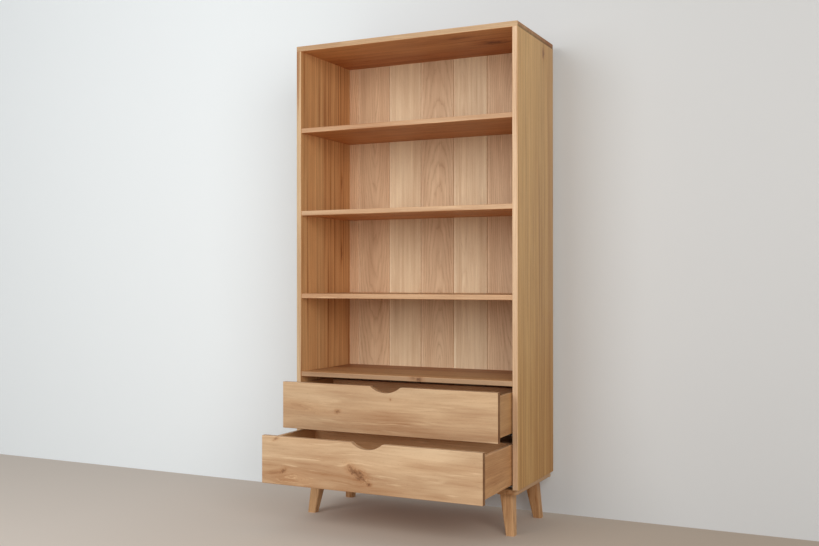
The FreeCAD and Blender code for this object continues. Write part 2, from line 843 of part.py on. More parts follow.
def make_box_bottom(name, drawer):
    """Bottom board of a drawer box, held in the grooves of its sides and front."""
    body = new_body(f"{name}_drawer_bottom")
    reach = "box_inner + box_groove_depth - box_groove_play"
    outline = sketch_on(body, "XY_Plane", "box_bottom_level")
    draw_rectangle(outline, minus(reach), reach,
                   "box_front - box_groove_depth + box_groove_play", "box_rear")
    pad(body, outline, "box_bottom_thickness")
    holes = sketch_on(body, "XY_Plane", "box_bottom_level")
    for side in both_hands("side_inner - wing_middle"):
        for back in MEMBER_SCREWS_Y:
            draw_circle(holes, side, back, "screw_hole")
    pocket(body, holes, "member_screw_in_bottom + screw_play", reverse=True)
    seat(body, drawer["level"], drawer["open"])
    return keep(body)


def make_box_dowels(name, drawer):
    """Dowels that join a drawer's front to its sides."""
    dowels = []
    for side in both_hands("box_dowel_side"):
        for up in BOX_DOWELS_Z:
            centre = (side, "box_front - dowel_in_board", up)
            dowels.append(rod("dowel_diameter / 2", "dowel_length", centre, BACKWARD))
    seat(group(f"{name}_drawer_dowels", dowels), drawer["level"], drawer["open"])


# ---------------------------------------------------------------- runners

def from_side(across):
    """A distance from the left side panel's inner face, measured from the middle instead."""
    return f"{across} - side_inner"


def extrude_section(body, section):
    """Steel section of a left runner member, drawn across the runner and padded along it."""
    sketch = sketch_on(body, "XZ_Plane", "-runner_front")
    draw_outline(sketch, [(from_side(across), up) for across, up in section])
    pad(body, sketch, "runner_length", reverse=True)


def make_fixed_member(name, drawer):
    """Fixed member: a flange on the side panel, a floor under the drawer side, and a channel."""
    body = new_body(f"{name}_runner_left_fixed")
    steel = "runner_steel"
    extrude_section(body, [
        ("0", "0"),
        ("channel_inner", "0"),
        ("channel_inner", "channel_height"),
        ("channel_inner - runner_steel", "channel_height"),
        ("channel_inner - runner_steel", steel),
        ("channel_outer + runner_steel", steel),
        ("channel_outer + runner_steel", "channel_height"),
        ("channel_outer", "channel_height"),
        ("channel_outer", steel),
        (steel, steel),
        (steel, "runner_flange"),
        ("0", "runner_flange"),
    ])
    holes = sketch_on(body, "YZ_Plane", "-side_inner")
    for back in RUNNER_SCREWS_Y:
        draw_circle(holes, back, "runner_flange - runner_screw_below_top", "screw_hole")
    pocket(body, holes, "runner_steel", reverse=True)
    seat(body, f"{drawer['level']} + runner_level")
    return keep(body)


def make_middle_member(name, drawer):
    """Middle member: an I section that runs half as far as the drawer."""
    body = new_body(f"{name}_runner_left_middle")
    edge = "middle_member_width / 2"
    web = "runner_steel / 2"
    upper = [
        (f"channel_middle + {web}", "middle_base + runner_steel"),
        (f"channel_middle + {web}", "middle_top - runner_steel"),
        (f"channel_middle + {edge}", "middle_top - runner_steel"),
        (f"channel_middle + {edge}", "middle_top"),
        (f"channel_middle - {edge}", "middle_top"),
        (f"channel_middle - {edge}", "middle_top - runner_steel"),
        (f"channel_middle - {web}", "middle_top - runner_steel"),
        (f"channel_middle - {web}", "middle_base + runner_steel"),
    ]
    lower = [
        (f"channel_middle - {edge}", "middle_base + runner_steel"),
        (f"channel_middle - {edge}", "middle_base"),
        (f"channel_middle + {edge}", "middle_base"),
        (f"channel_middle + {edge}", "middle_base + runner_steel"),
    ]
    extrude_section(body, upper + lower)
    seat(body, f"{drawer['level']} + runner_level", f"{drawer['open']} / 2")
    return keep(body)


def make_drawer_member(name, drawer):
    """Drawer member: a channel turned down over the middle member, with a wing to screw through."""
    body = new_body(f"{name}_runner_left_drawer")
    underside = "runner_height - runner_steel"
    hem = "runner_height - drawer_member_leg"
    extrude_section(body, [
        ("channel_outer", hem),
        ("channel_outer + runner_steel", hem),
        ("channel_outer + runner_steel", underside),
        ("channel_inner - runner_steel", underside),
        ("channel_inner - runner_steel", hem),
        ("channel_inner", hem),
        ("channel_inner", underside),
        ("channel_inner + drawer_member_wing", underside),
        ("channel_inner + drawer_member_wing", "runner_height"),
        ("channel_outer", "runner_height"),
    ])
    holes = sketch_on(body, "XY_Plane", underside)
    for back in MEMBER_SCREWS_Y:
        draw_circle(holes, from_side("wing_middle"), back, "screw_hole")
    pocket(body, holes, "runner_steel", reverse=True)
    seat(body, f"{drawer['level']} + runner_level", drawer["open"])
    return keep(body)


def make_glides(name, drawer, middle_members):
    """Glides clipped round the middle members' flanges: they bear in both channels."""
    level = f"{drawer['level']} + runner_level"
    low = "runner_steel + glide_play"
    high = "runner_height - runner_steel - glide_play - glide_height"
    middle = "runner_front + (runner_length - glide_length) / 2"
    front = "runner_front"
    rear = "runner_rear - glide_length"
    left = "channel_outer + runner_steel + glide_play - side_inner"
    right = "side_inner - channel_inner + runner_steel + glide_play"
    blocks = []
    for side in (left, right):
        for back, up in ((middle, low), (rear, low), (middle, high), (front, high)):
            block = doc.addObject("Part::Box", "Block")
            bind(block, "Length", "channel_width - 2 * (runner_steel + glide_play)")
            bind(block, "Width", "glide_length")
            bind(block, "Height", "glide_height")
            bind(block, "Placement.Base.x", side)
            bind(block, "Placement.Base.y", f"carcass_front - {drawer['open']} / 2 + {back}")
            bind(block, "Placement.Base.z", f"{level} + {up}")
            blocks.append(block)
    uncut = doc.addObject("Part::Compound", "Blocks")
    uncut.Links = blocks
    sections = doc.addObject("Part::Compound", "Sections")
    sections.Links = middle_members
    glides = doc.addObject("Part::Cut", f"{name}_runner_glides")
    glides.Label = f"{name}_runner_glides"
    glides.Base = uncut
    glides.Tool = sections
    return keep(glides)


def make_runner_screws(name, drawer):
    """Screws from the fixed members into the side panels."""
    screws = []
    sides = zip(both_hands("side_inner - runner_steel"), (LEFTWARD, RIGHTWARD))
    for side, turn in sides:
        for back in RUNNER_SCREWS_Y:
            centre = (side, back, "runner_screw_up")
            screws.append(wood_screw("runner_steel + runner_screw_in_side", centre, turn))
    seat(group(f"{name}_runner_screws", screws), drawer["level"])


def make_member_screws(name, drawer):
    """Screws from the drawer members up into the drawer's bottom board."""
    screws = []
    for side in both_hands("side_inner - wing_middle"):
        for back in MEMBER_SCREWS_Y:
            centre = (side, back, "box_bottom_level - runner_steel")
            screws.append(wood_screw("runner_steel + member_screw_in_bottom", centre, UP))
    seat(group(f"{name}_drawer_screws", screws), drawer["level"], drawer["open"])


# ---------------------------------------------------------------- assembly

mirrored("right_side", make_side())
make_top()
make_shelf("shelf_upper", "upper_shelf_level")
make_shelf("shelf_middle", "middle_shelf_level")
make_shelf("shelf_lower", "lower_shelf_level")
make_shelf("drawer_deck", "deck_level")
make_bottom()
for board_number in range(BOARD_COUNT):
    make_back_board(board_number)
mirrored("base_rail_right", make_rail())
front_left_leg = make_leg()
front_right_leg = mirrored("leg_front_right", front_left_leg)
middle_of_depth = "carcass_front + depth / 2"
mirrored("leg_rear_left", front_left_leg, Vector(0, 1, 0), middle_of_depth)
mirrored("leg_rear_right", front_right_leg, Vector(0, 1, 0), middle_of_depth)
make_carcass_dowels()
make_leg_bolts()
make_back_screws()

for drawer_name, drawer_place in DRAWERS.items():
    fixed_member = make_fixed_member(drawer_name, drawer_place)
    mirrored(f"{drawer_name}_runner_right_fixed", fixed_member)
    left_middle = make_middle_member(drawer_name, drawer_place)
    right_middle = mirrored(f"{drawer_name}_runner_right_middle", left_middle)
    make_glides(drawer_name, drawer_place, [left_middle, right_middle])
    drawer_member = make_drawer_member(drawer_name, drawer_place)
    mirrored(f"{drawer_name}_runner_right_drawer", drawer_member)
    make_runner_screws(drawer_name, drawer_place)
    make_member_screws(drawer_name, drawer_place)
    make_front(drawer_name, drawer_place)
    mirrored(f"{drawer_name}_drawer_right_side", make_box_side(drawer_name, drawer_place))
    make_box_back(drawer_name, drawer_place)
    make_box_bottom(drawer_name, drawer_place)
    make_box_dowels(drawer_name, drawer_place)

doc.recompute()

for thing in doc.Objects:
    if "Invalid" in thing.State or "Error" in thing.State:
        raise RuntimeError(f"{thing.Label} failed: {thing.State}")
for node in nodes:
    if node.Shape.isNull() or not node.Shape.isValid() or not node.Shape.Solids:
        raise RuntimeError(f"{node.Label} has no sound solid")

os.makedirs("parts", exist_ok=True)
for node in nodes:
    node.Shape.exportStep(f"parts/{node.Label}.step")
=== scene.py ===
import math

import bpy
from mathutils import Matrix, Vector


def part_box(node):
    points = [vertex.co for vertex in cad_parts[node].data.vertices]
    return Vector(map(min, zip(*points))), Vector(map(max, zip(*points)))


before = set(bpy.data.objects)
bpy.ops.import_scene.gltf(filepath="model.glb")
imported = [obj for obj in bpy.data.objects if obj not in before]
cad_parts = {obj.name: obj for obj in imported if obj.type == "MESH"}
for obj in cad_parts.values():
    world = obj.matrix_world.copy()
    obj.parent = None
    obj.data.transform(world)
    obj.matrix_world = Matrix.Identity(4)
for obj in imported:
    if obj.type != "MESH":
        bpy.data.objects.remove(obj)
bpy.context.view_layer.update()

# An oak bookcase with two drawers: its finishes, the studio and the camera.
# Metres: +X to the right, +Y to the wall, +Z up, z = 0 on the floor.

scene = bpy.context.scene
scene.view_settings.view_transform = "Standard"


def colour(red, green, blue):
    """A colour from its usual 0 to 255 levels."""
    def linear(level):
        share = level / 255
        return share / 12.92 if share <= 0.04045 else ((share + 0.055) / 1.055) ** 2.4
    return (linear(red), linear(green), linear(blue), 1.0)


# ---------------------------------------------------------------- node graphs

class Graph:
    """A node tree, with short calls for the nodes that the finishes use."""

    def __init__(self, tree):
        self.tree = tree

    def node(self, kind, inputs=(), **settings):
        """Adds a node. Its inputs are numbers, colours, vectors or sockets, in order or by name."""
        made = self.tree.nodes.new(kind)
        for name, setting in settings.items():
            setattr(made, name, setting)
        for place, value in (inputs.items() if isinstance(inputs, dict) else enumerate(inputs)):
            if isinstance(value, bpy.types.NodeSocket):
                self.tree.links.new(value, made.inputs[place])
            else:
                made.inputs[place].default_value = value
        return made

    def calc(self, operation, *values):
        return self.node("ShaderNodeMath", values, operation=operation).outputs[0]

    def vector(self, operation, *values):
        return self.node("ShaderNodeVectorMath", values, operation=operation).outputs[0]

    def total(self, *values):
        """The sum of several numbers."""
        result = values[0]
        for value in values[1:]:
            result = self.calc("ADD", result, value)
        return result

    def scaled(self, value, factor):
        return self.calc("MULTIPLY", value, factor)

    def swing(self, value, size):
        """A 0 to 1 value as a swing of that size about zero."""
        return self.calc("MULTIPLY_ADD", value, size, -0.5 * size)

    def fade(self, value, start, end):
        """A smooth step from 0 at start to 1 at end."""
        return self.node("ShaderNodeMapRange", (value, start, end),
                         interpolation_type="SMOOTHSTEP").outputs[0]

    def clamp(self, value):
        return self.node("ShaderNodeClamp", (value,)).outputs[0]

    def split(self, vector):
        return self.node("ShaderNodeSeparateXYZ", (vector,)).outputs[:3]

    def join(self, x, y, z):
        return self.node("ShaderNodeCombineXYZ", (x, y, z)).outputs[0]

    def noise(self, place, lumps, detail, roughness=0.5):
        """Smooth noise with so many lumps to the metre along each axis."""
        stretched = self.vector("MULTIPLY", place, lumps)
        return self.node("ShaderNodeTexNoise", {
            "Vector": stretched, "Scale": 1.0, "Detail": detail, "Roughness": roughness}).outputs[0]

    def chance(self, number):
        """Three random numbers that go with one number."""
        made = self.node("ShaderNodeTexWhiteNoise", {"W": number}, noise_dimensions="1D")
        return self.node("ShaderNodeSeparateColor", (made.outputs["Color"],)).outputs[:3]

    def mix(self, share, first, second, blend="MIX"):
        return self.node("ShaderNodeMix", {0: share, 6: first, 7: second},
                         data_type="RGBA", blend_type=blend).outputs[2]

    def tinted(self, share, tone, tint):
        """The tone, multiplied by the tint by that share."""
        return self.mix(share, tone, self.mix(1.0, tone, tint, "MULTIPLY"))

    def group(self, tree, inputs):
        """Places a node group and returns its outputs."""
        return self.node("ShaderNodeGroup", inputs, node_tree=tree).outputs


def new_group(name, inputs, outputs):
    """An empty node group: its graph, its input sockets and a call that fills its outputs.

    An input's value is a number or a colour, or None for a vector.
    """
    tree = bpy.data.node_groups.new(name, "ShaderNodeTree")
    for label, value in inputs.items():
        kind = {float: "Float", tuple: "Color"}.get(type(value), "Vector")
        socket = tree.interface.new_socket(label, in_out="INPUT", socket_type="NodeSocket" + kind)
        if value is not None:
            socket.default_value = value
    for label, kind in outputs.items():
        tree.interface.new_socket(label, in_out="OUTPUT", socket_type="NodeSocket" + kind)
    graph = Graph(tree)
    entry = tree.nodes.new("NodeGroupInput").outputs
    way_out = tree.nodes.new("NodeGroupOutput")

    def fill(**values):
        for label, value in values.items():
            tree.links.new(value, way_out.inputs[label])
    return graph, entry, fill


# ------------------------------------------------------------- shared effects

# Each mark is given by its lumps to the metre, or to a knot's radius, along the grain, across the
# board and through it, then by its detail and, for some, its roughness.
KNOT_CRACKS = ((0.8, 3.0, 1.0), 3.0)
WEAR_AND_HIGHLIGHT_UNEVENNESS = ((60.0, 60.0, 60.0), 3.0)
WANDER = ((2.2, 5.0, 5.0), 2.0)
SWAY = ((1.3, 0.0, 3.0), 1.0)
RIPPLES = ((14.0, 90.0, 90.0), 3.0)
STREAKS = ((0.9, 66.0, 25.0), 3.0, 0.6)
DARK_LINES = ((1.1, 120.0, 60.0), 2.0)
FIGURE = ((3.0, 26.0, 26.0), 4.0, 0.55)
CREAM_FLECKS = ((7.0, 110.0, 60.0), 2.0)
MOTTLES = ((2.2, 9.0, 9.0), 2.0)
FIBRES = ((9.0, 420.0, 420.0), 3.0, 0.6)
PORES = ((120.0, 2300.0, 2300.0), 1.0)
BLUSHES = ((1.6, 8.0, 8.0), 2.0)
CLOUDS = ((22.0, 22.0, 22.0), 3.0)
PITS = ((1400.0, 1400.0, 1400.0), 2.0)

# What the oak is multiplied by where it is ruddy, cut across or stained round a knot, what its deep
# tone is multiplied by in the pores, and the colour of a knot's heart.
RUDDY = (1.03, 0.9, 0.8, 1.0)
END_TINT = (0.78, 0.74, 0.7, 1.0)
STAIN_TINT = (0.8, 0.6, 0.44, 1.0)
PORE_TINT = (0.42, 0.36, 0.32, 1.0)
KNOT_BROWN = colour(84, 47, 26)

# The oak's darkness between its two tones and its roughness, before any mark.
PLAIN_DARKNESS = 0.42
PLAIN_ROUGHNESS = 0.5


def make_knot_group():
    """A knot: its cracked heart, the stained wood about it and the grain that flows round it.

    Length is how many radii it reaches along the grain, Turn tilts it and Depth is how dark it is.
    """
    graph, given, fill = new_group(
        "Knot", {"Place": None, "Centre": None, "Radius": 0.008, "Length": 1.8, "Turn": 0.0,
                 "Depth": 1.0},
        {"Mask": "Float", "Stain": "Float", "Bend": "Float"})

    # The spot in radii from the middle, turned and drawn out along the grain.
    x, y, z = graph.split(graph.vector("SUBTRACT", given["Place"], given["Centre"]))
    cosine = graph.calc("COSINE", given["Turn"])
    sine = graph.calc("SINE", given["Turn"])
    along = graph.total(graph.scaled(x, cosine), graph.scaled(y, sine))
    aside = graph.calc("SUBTRACT", graph.scaled(y, cosine), graph.scaled(x, sine))
    along, aside, deep = (graph.calc("DIVIDE", way, given["Radius"]) for way in (along, aside, z))
    spot = graph.join(graph.calc("DIVIDE", along, given["Length"]), aside, deep)

    # Its rim is ragged, and each knot has a pattern of its own.
    apart = (40.0, 40.0, 40.0)
    own = graph.vector("ADD", spot, graph.vector("MULTIPLY", given["Centre"], apart))
    ragged = graph.node("ShaderNodeTexNoise", {"Vector": own, "Scale": 1.6, "Detail": 4.0})
    pull = graph.vector("SUBTRACT", ragged.outputs["Color"], (0.5, 0.5, 0.5))
    warped = graph.vector("ADD", spot, graph.vector("MULTIPLY", pull, (2.0, 2.0, 0.0)))
    away = graph.node("ShaderNodeVectorMath", (warped,), operation="LENGTH").outputs["Value"]

    # Cracks run through the heart and a little past it.
    vein = graph.calc("ABSOLUTE", graph.total(graph.noise(own, *KNOT_CRACKS), -0.5))
    crack = graph.fade(vein, 0.08, 0.0)
    heart = graph.scaled(graph.fade(away, 1.0, 0.4), graph.calc("MULTIPLY_ADD", crack, 0.5, 0.5))
    past = graph.scaled(graph.fade(away, 1.6, 0.8), crack)
    dark = graph.calc("MAXIMUM", heart, graph.scaled(past, 0.7))
    strength = graph.total(graph.scaled(given["Depth"], 0.5), 0.5)

    # The grain swings aside round it, and less so further off.
    flow = graph.scaled(graph.scaled(aside, given["Radius"]), -1.1)
    distance = graph.total(graph.calc("POWER", away, 2.0), 0.4)
    fill(Mask=graph.scaled(dark, given["Depth"]),
         Stain=graph.scaled(graph.fade(away, 3.0, 0.3), strength),
         Bend=graph.calc("DIVIDE", flow, distance))
    return graph.tree


def make_edge_group():
    """Where two faces of a board meet: 1 along its edges, fading to 0 over the given width."""
    graph, given, fill = new_group(
        "Edge Bands", {"Place": None, "Low": None, "High": None, "Width": 0.004},
        {"Mask": "Float"})
    to_faces = graph.vector("MINIMUM", graph.vector("SUBTRACT", given["Place"], given["Low"]),
                            graph.vector("SUBTRACT", given["High"], given["Place"]))
    x, y, z = graph.split(to_faces)
    nearer = graph.calc("MINIMUM", x, y)
    further = graph.calc("MAXIMUM", x, y)
    second_face = graph.calc("MAXIMUM", nearer, graph.calc("MINIMUM", further, z))
    uneven_wear_and_highlight = graph.noise(given["Place"], *WEAR_AND_HIGHLIGHT_UNEVENNESS)
    reach = graph.scaled(given["Width"], graph.total(uneven_wear_and_highlight, 0.5))
    fill(Mask=graph.fade(graph.calc("DIVIDE", second_face, reach), 1.0, 0.0))
    return graph.tree


def make_oak_group():
    """Oak as a solid: staves, growth rings, streaks, fibres and pores.

    Place runs X along the grain, Y across the board and Z through it. Staves of the given width
    differ by the Stave Tone. The rings lie a Ring Gap apart round a pith that is Pith Side and Pith
    Depth from the middle, leaves the board by Run-out to the metre and wanders by Wave. Streak,
    Line, Figure, Cloud, Blush and Ring say how strong each mark is. Drift darkens the board by so
    much to the metre along its grain, and Fall across it. End is 1 where the grain is cut across.
    Bend, Knot and Stain come from the knots.
    """
    graph, given, fill = new_group(
        "Oak",
        {"Place": None, "Seed": 1.0, "Stave": 0.05, "Stave Tone": 0.3, "Ring Gap": 0.004,
         "Pith Side": 0.0, "Pith Depth": 0.04, "Run-out": 0.03, "Wave": 0.01, "Streak": 0.5,
         "Line": 0.3, "Figure": 0.3, "Cloud": 0.5, "Drift": 0.0, "Fall": 0.0, "Blush": 1.0,
         "Ring": 0.3, "Pale": (0.6, 0.4, 0.25, 1.0), "Deep": (0.35, 0.2, 0.1, 1.0),
         "Bend": 0.0, "Knot": 0.0, "Stain": 0.0, "End": 0.0},
        {"Color": "Color", "Roughness": "Float", "Height": "Float"})
    x, y, z = graph.split(given["Place"])

    # Each stave is a piece of wood of its own.
    row = graph.calc("ADD", graph.calc("DIVIDE", y, given["Stave"]), 0.5)
    stave = graph.calc("FLOOR", row)
    across = graph.scaled(graph.total(row, graph.scaled(stave, -1.0), -0.5), given["Stave"])
    luck = graph.chance(graph.calc("MULTIPLY_ADD", given["Seed"], 31.7, stave))
    own = graph.vector("MULTIPLY", graph.join(*luck), (9.0, 7.0, 8.0))
    grown = graph.vector("ADD", graph.vector("ADD", given["Place"], own),
                         graph.join(0.0, given["Bend"], 0.0))

    # Growth rings lie round a pith that wanders and runs out of the board.
    wander = graph.scaled(graph.swing(graph.noise(grown, *WANDER), 2.0), given["Wave"])
    sway = graph.scaled(graph.swing(graph.noise(grown, *SWAY), 3.0), given["Wave"])
    tip = graph.swing(luck[0], 0.9)
    side = graph.total(across, given["Bend"], given["Pith Side"], sway,
                       graph.scaled(graph.swing(luck[1], 0.5), given["Stave"]))
    run = graph.scaled(graph.calc("SUBTRACT", x, tip), given["Run-out"])
    depth = graph.total(z, given["Pith Depth"], run, wander)
    radius = graph.calc("SQRT", graph.total(graph.calc("POWER", side, 2.0),
                                            graph.calc("POWER", depth, 2.0)))
    ripple = graph.scaled(graph.swing(graph.noise(grown, *RIPPLES), 0.9), given["Ring Gap"])
    years = graph.calc("DIVIDE", graph.total(radius, ripple), given["Ring Gap"])
    year = graph.calc("FLOOR", years)
    season = graph.calc("SUBTRACT", years, year)
    weather = graph.chance(graph.total(year, graph.scaled(given["Seed"], 3.3)))[0]
    early = graph.calc("POWER", graph.calc("SUBTRACT", 1.0, season), 3.0)
    late = graph.scaled(graph.calc("POWER", season, 2.0), 0.6)
    band = graph.scaled(graph.total(early, late, -0.45), graph.total(graph.scaled(weather, 0.9), 0.5))

    # Streaks, dark lines, figure, fibres and the pores that line the early wood.
    streak = graph.noise(grown, *STREAKS)
    line = graph.fade(graph.noise(grown, *DARK_LINES), 0.56, 0.68)
    figure = graph.noise(grown, *FIGURE)
    cream = graph.fade(graph.noise(grown, *CREAM_FLECKS), 0.6, 0.74)
    mottle = graph.noise(grown, *MOTTLES)
    fibre = graph.noise(grown, *FIBRES)
    hair = graph.noise(grown, *PORES)
    pore = graph.scaled(graph.fade(hair, 0.6, 0.7), graph.calc("MULTIPLY_ADD", early, 0.85, 0.15))

    # How dark the wood is, from 0 for the pale tone to 1 for the deep one.
    dark = graph.clamp(graph.total(
        PLAIN_DARKNESS,
        graph.scaled(graph.swing(streak, 2.2), given["Streak"]),
        graph.scaled(line, given["Line"]),
        graph.scaled(graph.total(graph.swing(figure, 2.4), graph.scaled(cream, -0.7)),
                     given["Figure"]),
        graph.scaled(band, given["Ring"]),
        graph.scaled(graph.swing(mottle, 1.0), given["Cloud"]),
        graph.swing(fibre, 0.5),
        graph.scaled(graph.swing(luck[2], 1.0), given["Stave Tone"]),
        graph.scaled(x, given["Drift"]),
        graph.scaled(y, given["Fall"]),
        graph.scaled(given["End"], 0.25)))
    blush = graph.total(graph.scaled(luck[1], 0.6), graph.swing(graph.noise(grown, *BLUSHES), 1.2))
    blush = graph.clamp(graph.scaled(blush, given["Blush"]))
    pore_brown = graph.mix(1.0, given["Deep"], PORE_TINT, "MULTIPLY")
    wood = graph.mix(dark, given["Pale"], given["Deep"])
    wood = graph.tinted(blush, wood, RUDDY)
    wood = graph.mix(graph.scaled(pore, 0.55), wood, pore_brown)
    wood = graph.tinted(given["End"], wood, END_TINT)
    wood = graph.tinted(graph.scaled(given["Stain"], 0.7), wood, STAIN_TINT)
    wood = graph.mix(graph.scaled(given["Knot"], 0.85), wood, KNOT_BROWN)

    rough = graph.total(PLAIN_ROUGHNESS, graph.scaled(pore, 0.2), graph.swing(fibre, 0.16),
                        graph.scaled(given["End"], 0.18), graph.scaled(band, 0.05))
    height = graph.total(graph.scaled(pore, -1.0), graph.scaled(band, -0.25),
                         graph.swing(fibre, 0.5), graph.scaled(given["Knot"], -0.4))
    fill(Color=wood, Roughness=rough, Height=height)
    return graph.tree


def make_fine_group():
    """Two tones drawn out along a piece, cloudy wear and fine pits, for metal, plastic or beech.

    Stretch is how many lumps of tone there are to the metre along each axis.
    """
    graph, given, fill = new_group(
        "Fine Texture",
        {"Place": None, "Stretch": None, "Pale": (0.6, 0.6, 0.6, 1.0), "Deep": (0.3, 0.3, 0.3, 1.0),
         "Rough": 0.4},
        {"Color": "Color", "Roughness": "Float", "Height": "Float"})
    drawn = graph.noise(given["Place"], given["Stretch"], 4.0, 0.6)
    cloud = graph.noise(given["Place"], *CLOUDS)
    pits = graph.fade(graph.noise(given["Place"], *PITS), 0.55, 0.75)
    tone = graph.clamp(graph.total(graph.swing(drawn, 1.1), graph.swing(cloud, 0.8), 0.45))
    fill(Color=graph.mix(tone, given["Pale"], given["Deep"]),
         Roughness=graph.total(given["Rough"], graph.swing(cloud, 0.18), graph.swing(drawn, 0.12),
                               graph.scaled(pits, 0.08)),
         Height=graph.total(drawn, graph.scaled(pits, -0.6)))
    return graph.tree


KNOT = make_knot_group()
EDGES = make_edge_group()
OAK = make_oak_group()
FINE = make_fine_group()


# ----------------------------------------------------------------- finishes

def new_finish(name):
    """A new material and its graph."""
    material = bpy.data.materials.new(name)
    material.use_nodes = True
    return material, Graph(material.node_tree)


def dress(graph, tone, roughness, height, strength, relief):
    """Feeds a material's shader, its height as a bump of that relief, and returns the shader."""
    shader = graph.tree.nodes["Principled BSDF"]
    bump = graph.node("ShaderNodeBump", {"Strength": strength, "Distance": relief, "Height": height})
    for socket, value in (("Base Color", tone), ("Roughness", roughness),
                          ("Normal", bump.outputs[0])):
        graph.tree.links.new(value, shader.inputs[socket])
    return shader


def finish(node, material):
    """Gives a node its one material."""
    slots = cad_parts[node].data.materials
    slots.clear()
    slots.append(material)


AXES = {"X": 0, "Y": 1, "Z": 2}

# The usual tints of a board's parts. A board's colour is multiplied by them.
PLAIN = (1, 1, 1)
LONG_EDGE = (1.0, 1.1, 1.3)
RUBBED_EDGE = (1.1, 1.1, 1.1)
DARK_END_BAND_TINT = (0.7, 0.77, 0.63)

# How much of its tint a long edge takes, how wide an arris is rubbed and what that adds to its
# roughness, and how far the edge of the dark band at the foot of a board's ends blurs.
LONG_EDGE_SHARE = 0.9
RUBBED_WIDTH = 0.004
RUBBED_ROUGHNESS = -0.06
DARK_END_BAND_BLUR = 0.0015

# How far a face has to turn to an axis for its tint to begin and to be full.
TURNED = (0.45, 0.95)
TURNED_DOWN = (-0.5, -0.9)

# How strong the bumps are, how high the grain stands and how much oiled oak shines.
GRAIN_BUMP = 0.55
FINE_BUMP = 0.5
GRAIN_RELIEF = 0.0004
OILED_SPECULAR = 0.25


def oak_board(node, grain, across, wood, seed, knots=(), edge=LONG_EDGE, ends=PLAIN, underside_light_and_shade=PLAIN,
              wear_and_highlight_width=RUBBED_WIDTH, wear_and_highlight=RUBBED_EDGE, dark_end_band_height=0.0):
    """Finishes a board, given the axis that its grain runs along and the axis across it.

    Edge and ends tint its long edges and its ends; on the back boards the edge tint is painted
    shade in the V-grooves. Underside light and shade tints its underside: painted shade where
    the tint is darker, painted light where it is lighter. Wear and highlight tints a band along
    its arrises over the wear and highlight width: rubbed wear on most boards, and on the back
    boards a painted highlight beside each groove. Its ends are darker up to the dark end band
    height over its underside. Knots are (along, across, through, radius, length, turn, depth)
    in the frame.
    """
    low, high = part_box(node)
    centre = (low + high) / 2
    through = ({"X", "Y", "Z"} - {grain, across}).pop()
    order = [AXES[grain], AXES[across], AXES[through]]
    material, graph = new_finish(node + "_oak")
    where = graph.node("ShaderNodeTexCoord")
    spot = graph.split(graph.vector("SUBTRACT", where.outputs["Object"], tuple(centre)))
    place = graph.join(*(spot[axis] for axis in order))
    facing = graph.split(where.outputs["Normal"])
    end, narrow = (graph.fade(graph.calc("ABSOLUTE", facing[axis]), *TURNED) for axis in order[:2])

    marks = {"Knot": 0.0, "Stain": 0.0, "Bend": 0.0}
    for *spot_in_frame, radius, length, turn, depth in knots:
        at = tuple(spot_in_frame[i] - centre[order[i]] for i in range(3))
        knot = graph.group(KNOT, {"Place": place, "Centre": at, "Radius": radius,
                                  "Length": length, "Turn": turn, "Depth": depth})
        marks = {"Knot": graph.calc("MAXIMUM", marks["Knot"], knot["Mask"]),
                 "Stain": graph.calc("MAXIMUM", marks["Stain"], knot["Stain"]),
                 "Bend": graph.total(marks["Bend"], knot["Bend"])}
    board = graph.group(OAK, {**wood, **marks, "Place": place, "Seed": float(seed), "End": end})
    # A band along the arrises: rubbed wear on most boards, a painted highlight beside each groove on
    # the back boards.
    uneven_wear_and_highlight = graph.group(EDGES, {"Place": where.outputs["Object"], "Low": tuple(low),
                                 "High": tuple(high), "Width": wear_and_highlight_width})["Mask"]
    height = graph.total(graph.split(where.outputs["Object"])[2], -low[2])
    low_band = graph.fade(height, dark_end_band_height + DARK_END_BAND_BLUR, dark_end_band_height - DARK_END_BAND_BLUR) if dark_end_band_height else 0.0
    tone = board["Color"]
    for share, tint in ((graph.scaled(narrow, LONG_EDGE_SHARE), edge),
                        (end, ends),
                        (graph.fade(facing[2], *TURNED_DOWN), underside_light_and_shade),
                        (uneven_wear_and_highlight, wear_and_highlight),
                        (graph.scaled(end, low_band), DARK_END_BAND_TINT)):
        tone = graph.tinted(share, tone, (*tint, 1.0))
    rough = graph.total(board["Roughness"], graph.scaled(uneven_wear_and_highlight, RUBBED_ROUGHNESS))
    shader = dress(graph, tone, rough, board["Height"], GRAIN_BUMP, GRAIN_RELIEF)
    shader.inputs["Specular IOR Level"].default_value = OILED_SPECULAR
    finish(node, material)


def plain_finish(name, nodes, pale, deep, stretch, metallic, rough, relief):
    """Finishes pieces of metal, plastic or beech, drawn out as stretch says and of that relief."""
    material, graph = new_finish(name)
    place = graph.node("ShaderNodeTexCoord").outputs["Object"]
    surface = graph.group(FINE, {"Place": place, "Stretch": stretch, "Pale": pale, "Deep": deep,
                                 "Rough": rough})
    shader = dress(graph, surface["Color"], surface["Roughness"], surface["Height"], FINE_BUMP, relief)
    shader.inputs["Metallic"].default_value = metallic
    for node in nodes:
        finish(node, material)


# -------------------------------------------------------------------- woods

